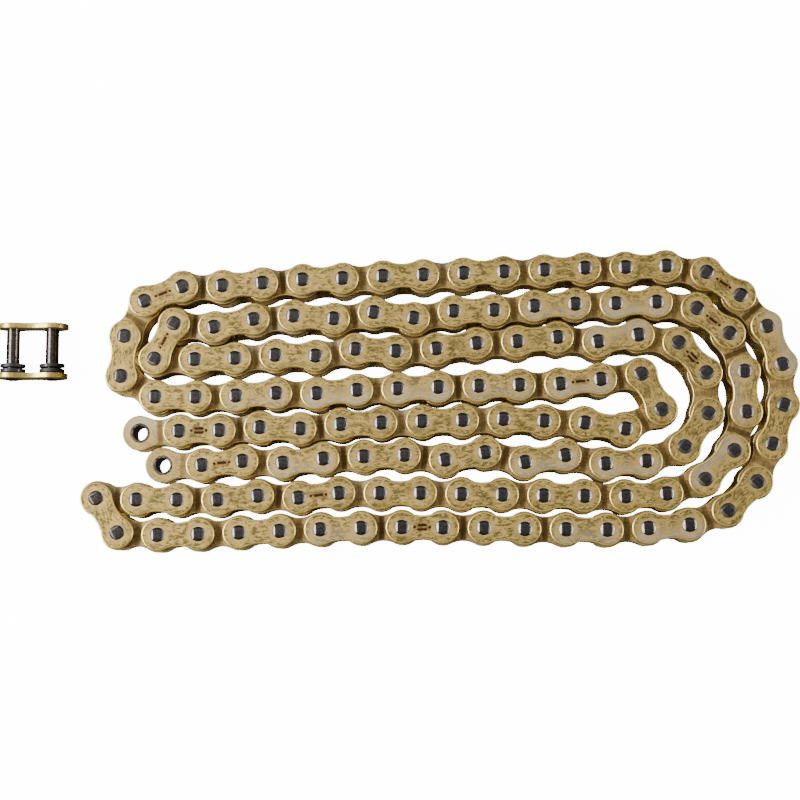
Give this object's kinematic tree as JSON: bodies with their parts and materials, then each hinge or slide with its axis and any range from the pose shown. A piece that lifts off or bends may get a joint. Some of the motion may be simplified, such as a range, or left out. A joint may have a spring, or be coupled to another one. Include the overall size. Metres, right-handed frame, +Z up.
{
  "type": "motorcycle drive chain",
  "caption": "Sealed-ring roller drive chain laid flat in a folded coil, both ends free, with its loose riveting link standing beside it.",
  "frame": {"origin": "on the table, under the middle of the whole set", "axes": "+X along the straight rows, from the free ends to the right-hand turns; +Y from the lower rows to the upper; +Z up, along the coil's hinge pins"},
  "size_m": [0.3182, 0.119, 0.0212],
  "materials": {
    "outer_plate": "gold-coloured plated steel, satin with polished edges and oily smears",
    "inner_plate": "gold-coloured plated steel, slightly duller, with oily smears",
    "pin": "dark polished hardened steel",
    "bushing": "dark brown hardened steel",
    "roller": "black oxide steel with grease",
    "x_ring": "black nitrile rubber with a film of grease"
  },
  "bodies": {
    "root": {"left_turn_lower": "inner_plate", "rivet_link_pin_1": "pin", "rivet_link_pin_2": "pin", "rivet_link_pin_plate": "outer_plate", "row_7_strand": "outer_plate", "row_8_strand": "outer_plate"},
    "rows_1_and_4": {"row_1_strand": "outer_plate", "left_turn_upper": "inner_plate", "row_4_strand": "outer_plate", "innermost_loop_03_inner_link": "inner_plate"},
    "rows_2_and_3": {"row_2_strand": "outer_plate", "left_turn_middle": "inner_plate", "row_3_strand": "outer_plate"},
    "row_5": {"row_5_strand": "outer_plate", "end_outer_plate_lower": "outer_plate", "end_outer_plate_upper": "outer_plate", "end_pin_1": "pin", "end_pin_2": "pin", "end_x_ring_1_lower": "x_ring", "end_x_ring_1_upper": "x_ring", "end_x_ring_2_lower": "x_ring", "end_x_ring_2_upper": "x_ring", "innermost_loop_01_inner_link": "inner_plate"},
    "row_6": {"row_6_strand": "outer_plate"},
    "outermost_loop_segment_1": {"outermost_loop_11_inner_link": "inner_plate", "outermost_loop_10_outer_link": "outer_plate", "outermost_loop_09_inner_link": "inner_plate", "outermost_loop_08_outer_link": "outer_plate", "outermost_loop_07_inner_link": "inner_plate"},
    "outermost_loop_segment_2": {"outermost_loop_06_outer_link": "outer_plate", "outermost_loop_05_inner_link": "inner_plate", "outermost_loop_04_outer_link": "outer_plate", "outermost_loop_03_inner_link": "inner_plate", "outermost_loop_02_outer_link": "outer_plate", "outermost_loop_01_inner_link": "inner_plate"},
    "innermost_loop_segment_1": {"innermost_loop_02_outer_link": "outer_plate"},
    "second_loop_segment_1": {"second_loop_01_inner_link": "inner_plate", "second_loop_02_outer_link": "outer_plate", "second_loop_03_inner_link": "inner_plate"},
    "second_loop_segment_2": {"second_loop_04_outer_link": "outer_plate", "second_loop_05_inner_link": "inner_plate", "second_loop_06_outer_link": "outer_plate", "second_loop_07_inner_link": "inner_plate"},
    "third_loop_segment_1": {"third_loop_01_inner_link": "inner_plate", "third_loop_02_outer_link": "outer_plate"},
    "third_loop_segment_2": {"third_loop_03_inner_link": "inner_plate"},
    "third_loop_segment_3": {"third_loop_04_outer_link": "outer_plate", "third_loop_05_inner_link": "inner_plate"},
    "free_end_link": {"end_inner_plate_lower": "inner_plate", "end_inner_plate_upper": "inner_plate", "end_bushing_1": "bushing", "end_bushing_2": "bushing"},
    "end_roller_1": {"end_roller_1": "roller"},
    "end_roller_2": {"end_roller_2": "roller"},
    "opposite_end_link": {"end_b_inner_link": "inner_plate"},
    "rivet_side_plate": {"rivet_link_side_plate": "outer_plate"},
    "rivet_ring_1_inner": {"rivet_link_x_ring_1_1": "x_ring"},
    "rivet_ring_1_outer": {"rivet_link_x_ring_1_2": "x_ring"},
    "rivet_ring_2_inner": {"rivet_link_x_ring_2_1": "x_ring"},
    "rivet_ring_2_outer": {"rivet_link_x_ring_2_2": "x_ring"}
  },
  "joints": [
    {"name": "outermost_loop_hinge_1", "type": "hinge", "parent": "root", "child": "outermost_loop_segment_1", "pos_m": [0.08337, -0.05022, 0.01062], "axis": [0, 0, -1], "range_deg": [0, 4.62]},
    {"name": "outermost_loop_hinge_2", "type": "hinge", "parent": "outermost_loop_segment_1", "child": "outermost_loop_segment_2", "pos_m": [0.14736, -0.0169, 0.01062], "axis": [0, 0, -1], "range_deg": [0, 5.66]},
    {"name": "outermost_loop_hinge_3", "type": "hinge", "parent": "outermost_loop_segment_2", "child": "rows_1_and_4", "pos_m": [0.10726, 0.05289, 0.01062], "axis": [0, 0, -1], "range_deg": [0, 5.72]},
    {"name": "innermost_loop_hinge_1", "type": "hinge", "parent": "rows_1_and_4", "child": "innermost_loop_segment_1", "pos_m": [0.0971, 0.01034, 0.01062], "axis": [0, 0, 1], "range_deg": [0, 8]},
    {"name": "innermost_loop_hinge_2", "type": "hinge", "parent": "innermost_loop_segment_1", "child": "row_5", "pos_m": [0.1048, -0.00354, 0.01062], "axis": [0, 0, 1], "range_deg": [0, 8]},
    {"name": "second_loop_hinge_1", "type": "hinge", "parent": "root", "child": "second_loop_segment_1", "pos_m": [0.10643, -0.03622, 0.01062], "axis": [0, 0, -1], "range_deg": [0, 5.72]},
    {"name": "second_loop_hinge_2", "type": "hinge", "parent": "second_loop_segment_1", "child": "second_loop_segment_2", "pos_m": [0.13758, -0.00444, 0.01062], "axis": [0, 0, -1], "range_deg": [0, 5.1]},
    {"name": "second_loop_hinge_3", "type": "hinge", "parent": "second_loop_segment_2", "child": "rows_2_and_3", "pos_m": [0.1033, 0.03863, 0.01062], "axis": [0, 0, -1], "range_deg": [0, 5.18]},
    {"name": "third_loop_hinge_1", "type": "hinge", "parent": "rows_2_and_3", "child": "third_loop_segment_1", "pos_m": [0.09611, 0.02569, 0.01062], "axis": [0, 0, 1], "range_deg": [0, 4]},
    {"name": "third_loop_hinge_2", "type": "hinge", "parent": "third_loop_segment_1", "child": "third_loop_segment_2", "pos_m": [0.12229, 0.0108, 0.01062], "axis": [0, 0, 1], "range_deg": [0, 4]},
    {"name": "third_loop_hinge_3", "type": "hinge", "parent": "third_loop_segment_2", "child": "third_loop_segment_3", "pos_m": [0.1228, -0.00507, 0.01062], "axis": [0, 0, 1], "range_deg": [0, 4]},
    {"name": "third_loop_hinge_4", "type": "hinge", "parent": "third_loop_segment_3", "child": "row_6", "pos_m": [0.09874, -0.02357, 0.01062], "axis": [0, 0, 1], "range_deg": [0, 4]},
    {"name": "free_end_swing", "type": "hinge", "parent": "row_5", "child": "free_end_link", "pos_m": [-0.08341, -0.01203, 0.01062], "axis": [0, 0, 1], "range_deg": [-2, 3]},
    {"name": "end_roller_1_spin", "type": "hinge", "parent": "free_end_link", "child": "end_roller_1", "pos_m": [-0.09927, -0.01266, 0.01062], "axis": [0, 0, 1], "continuous": true},
    {"name": "end_roller_2_spin", "type": "hinge", "parent": "free_end_link", "child": "end_roller_2", "pos_m": [-0.08341, -0.01203, 0.01062], "axis": [0, 0, 1], "continuous": true},
    {"name": "opposite_end_swing", "type": "hinge", "parent": "row_6", "child": "opposite_end_link", "pos_m": [-0.07422, -0.02539, 0.01062], "axis": [0, 0, 1], "range_deg": [-1, 1]},
    {"name": "side_plate_off", "type": "slide", "parent": "root", "child": "rivet_side_plate", "axis": [0, 1, 0], "range_m": [0, 0.015]},
    {"name": "ring_1_outer_slide", "type": "slide", "parent": "root", "child": "rivet_ring_1_outer", "axis": [0, 1, 0], "range_m": [0, 0.012]},
    {"name": "ring_1_inner_slide", "type": "slide", "parent": "root", "child": "rivet_ring_1_inner", "axis": [0, 1, 0], "range_m": [0, 0.006]},
    {"name": "ring_2_outer_slide", "type": "slide", "parent": "root", "child": "rivet_ring_2_outer", "axis": [0, 1, 0], "range_m": [0, 0.012]},
    {"name": "ring_2_inner_slide", "type": "slide", "parent": "root", "child": "rivet_ring_2_inner", "axis": [0, 1, 0], "range_m": [0, 0.006]}
  ],
  "couplings": [
    {"joint": "outermost_loop_hinge_1", "follows": "outermost_loop_hinge_3", "ratio": 0.80738},
    {"joint": "outermost_loop_hinge_2", "follows": "outermost_loop_hinge_3", "ratio": 0.98826},
    {"joint": "innermost_loop_hinge_1", "follows": "outermost_loop_hinge_3", "ratio": 1.3978},
    {"joint": "innermost_loop_hinge_2", "follows": "outermost_loop_hinge_3", "ratio": 1.3978},
    {"joint": "second_loop_hinge_1", "follows": "outermost_loop_hinge_3", "ratio": 1},
    {"joint": "second_loop_hinge_2", "follows": "outermost_loop_hinge_3", "ratio": 0.89153},
    {"joint": "second_loop_hinge_3", "follows": "outermost_loop_hinge_3", "ratio": 0.90411},
    {"joint": "third_loop_hinge_1", "follows": "outermost_loop_hinge_3", "ratio": 0.69891},
    {"joint": "third_loop_hinge_2", "follows": "outermost_loop_hinge_3", "ratio": 0.69891},
    {"joint": "third_loop_hinge_3", "follows": "outermost_loop_hinge_3", "ratio": 0.69891},
    {"joint": "third_loop_hinge_4", "follows": "outermost_loop_hinge_3", "ratio": 0.69891},
    {"joint": "ring_1_inner_slide", "follows": "ring_1_outer_slide", "ratio": 0.5},
    {"joint": "ring_2_inner_slide", "follows": "ring_2_outer_slide", "ratio": 0.5}
  ]
}
